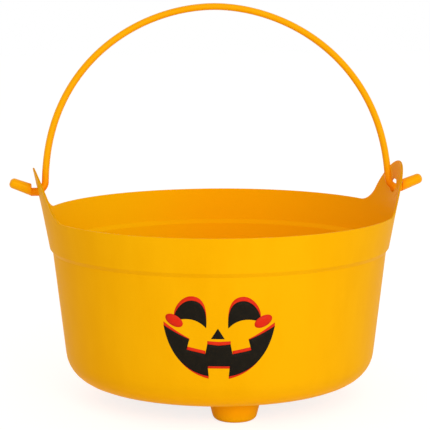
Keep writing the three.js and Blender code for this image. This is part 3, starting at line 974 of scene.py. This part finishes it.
def on_face(place, shift, proud):
    """A point of the drawing on the wall, that far proud of the plastic."""
    x, y = turned(place[0] * mouth_half_width + shift, place[1] * mouth_half_width, face_tilt)
    z = face_height + y
    radius = step_radius - lower_draft * (step_z - z)
    front = -math.sqrt(radius * radius - x * x)
    grow = 1 + proud / radius
    return (*turned(x * grow, front * grow, face_turn), z)


def ink_film(name, outline, proud, material, slot, shift=0.0):
    """One patch of ink as a thin closed film, in place of the printed node of the same name."""
    closed = [np.array(p) for p in list(outline) + [outline[0]]]
    loop = [tuple(p) for p in divided(closed, film_edge_step)[:-1]]
    points, faces = filled([loop], film_spacing)
    top = [on_face(p, shift, proud) for p in points]
    bottom = [on_face(p, shift, -sunk) for p in points]
    ring_top = [on_face(p, shift, proud) for p in loop + loop[:1]]
    ring_bottom = [on_face(p, shift, -sunk) for p in loop + loop[:1]]
    surfaces = [(top, faces), (bottom, faces), strip(ring_top, ring_bottom)]
    film = mesh_piece(name + "_film", surfaces, weld=1e-6)
    film.data.materials.append(material)
    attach(film, "bowl")
    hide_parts(name)


printed_ink, given, result = new_group("printed_ink", [
    ("Ink", "NodeSocketColor", (0.5, 0.1, 0.1, 1.0)),
    ("Thin Ink", "NodeSocketColor", (0.6, 0.2, 0.1, 1.0)),
    ("Roughness", "NodeSocketFloat", 0.45),
    ("Peel Size", "NodeSocketFloat", 0.0014),
], [("Colour", "NodeSocketColor"), ("Roughness", "NodeSocketFloat"), ("Height", "NodeSocketFloat")])
place = add_node(printed_ink, "ShaderNodeTexCoord").outputs["Object"]
mottle = noise(printed_ink, place, scale=260.0, detail=3.0)
pad_marks = noise(printed_ink, place, scale=2200.0)
mottle_part = math_node(printed_ink, "MULTIPLY", mottle, 0.6)
wear = math_node(printed_ink, "MULTIPLY_ADD", pad_marks, 0.4, mottle_part)
thin = spread(printed_ink, wear, 0.42, 0.66)
colour = blended(printed_ink, thin, given.outputs["Ink"], given.outputs["Thin Ink"])
satin = varied(printed_ink, given.outputs["Roughness"], mottle, 0.12)
peel = orange_peel(printed_ink, place, given.outputs["Peel Size"])
height = math_node(printed_ink, "MULTIPLY_ADD", pad_marks, 0.25, peel)
for label, value in (("Colour", colour), ("Roughness", satin), ("Height", height)):
    printed_ink.links.new(value, result.inputs[label])

black_ink, _, shader, _ = dressed("black_ink", printed_ink, {
    "Ink": (0.0088, 0.0078, 0.0048, 1.0),
    "Thin Ink": (0.0125, 0.0105, 0.0062, 1.0),
    "Roughness": 0.46,
    "Peel Size": 0.0014,
}, bump_height=0.00012)
shader.inputs["Specular IOR Level"].default_value = 0.06
red_ink, _, shader, _ = dressed("red_ink", printed_ink, {
    "Ink": (0.67, 0.02, 0.004, 1.0),
    "Thin Ink": (0.71, 0.034, 0.004, 1.0),
    "Roughness": 0.44,
    "Peel Size": 0.0014,
}, bump_height=0.00012)
shader.inputs["Specular IOR Level"].default_value = 0.1

# The red edges of the mouth, with how far each shows past the black along its length.
top_edge = mirrored(mouth_top)[:-1] + mouth_top
top_heights = (0.06, 0.071, 0.06)
tooth_heights = (0.062, 0.062)
notch_edge = [(-notch_half_width, notch_top), (notch_half_width, notch_top)]
notch_heights = (-0.042, -0.042)
lip_heights = [0.012 + 0.056 * i / (len(lip) - 1) for i in range(len(lip))]
jaw_end = jaw[len(jaw) // 2:]
jaw_heights = [-0.045 * i / (len(jaw_end) - 1) for i in range(len(jaw_end))]

black = {"proud": black_proud, "material": black_ink, "slot": "black_ink"}
red = {"proud": red_proud, "material": red_ink, "slot": "red_ink"}
ink_film("nose_black", nose, **black)
ink_film("mouth_black", whole_mouth, shift=mouth_shift, **black)
ink_film("mouth_top_red", edge_strip(top_edge, top_heights), shift=mouth_shift, **red)
ink_film("mouth_gap_red", edge_strip(notch_edge, notch_heights), shift=mouth_shift, **red)
for side, placed in (("left", mirrored), ("right", list)):
    ink_film(f"{side}_eye_black", placed(eye_outline(0.0)), shift=eye_shift, **black)
    ink_film(f"{side}_eye_red", placed(eye_outline(red_eye_rise)), shift=eye_shift, **red)
    ink_film(f"{side}_cheek_red", placed(cheek_outline()), cheek_proud, red_ink, "red_ink", cheek_shift)
    ink_film(f"{side}_tooth_red", placed(edge_strip(upper_tooth, tooth_heights)), shift=mouth_shift, **red)
    ink_film(f"{side}_lip_red", placed(edge_strip(lip, lip_heights)), shift=mouth_shift, **red)
    ink_film(f"{side}_jaw_red", placed(edge_strip(jaw_end, jaw_heights)), shift=mouth_shift, **red)
